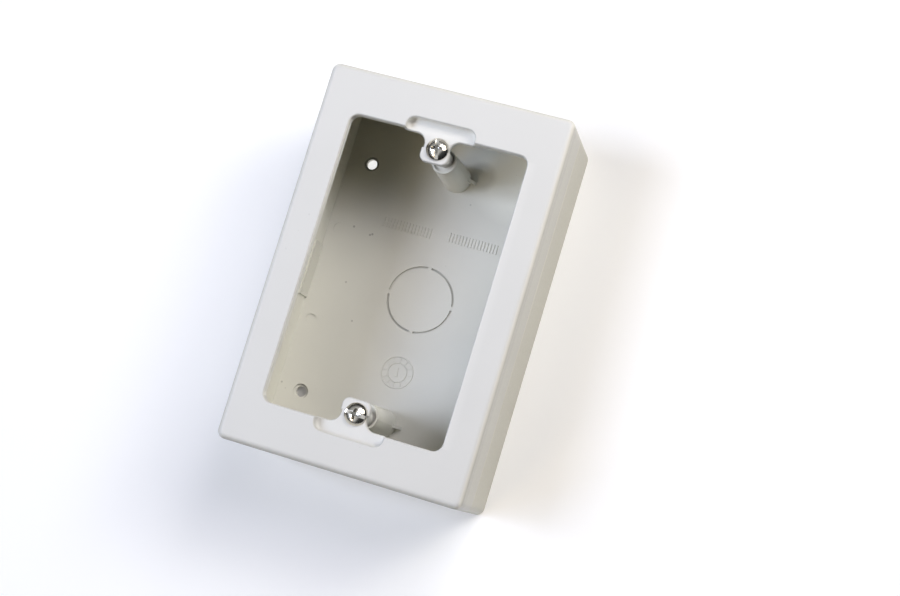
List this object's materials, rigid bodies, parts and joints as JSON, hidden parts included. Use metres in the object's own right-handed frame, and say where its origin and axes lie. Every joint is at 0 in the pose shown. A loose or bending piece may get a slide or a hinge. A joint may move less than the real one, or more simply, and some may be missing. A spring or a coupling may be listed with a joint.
{
  "type": "surface mount box",
  "caption": "White plastic surface mount box for one wiring device: a wall tray with screw posts and a round knock-out, and a flanged front frame clamped by screws through its recessed lugs.",
  "frame": {"origin": "centre of the box's flat back, the face that goes against the wall", "axes": "+Z out of the wall towards the open front, +Y along the length towards the upper screw, +X across the width"},
  "size_m": [0.078, 0.12, 0.04],
  "materials": {
    "base_plastic": "fine satin moulded, warm white",
    "frame_plastic": "fine satin moulded, cool white",
    "screw_metal": "bright nickel plating"
  },
  "bodies": {
    "root": {"base": "base_plastic", "front_frame": "frame_plastic", "screw_upper": "screw_metal", "screw_lower": "screw_metal"}
  },
  "joints": []
}
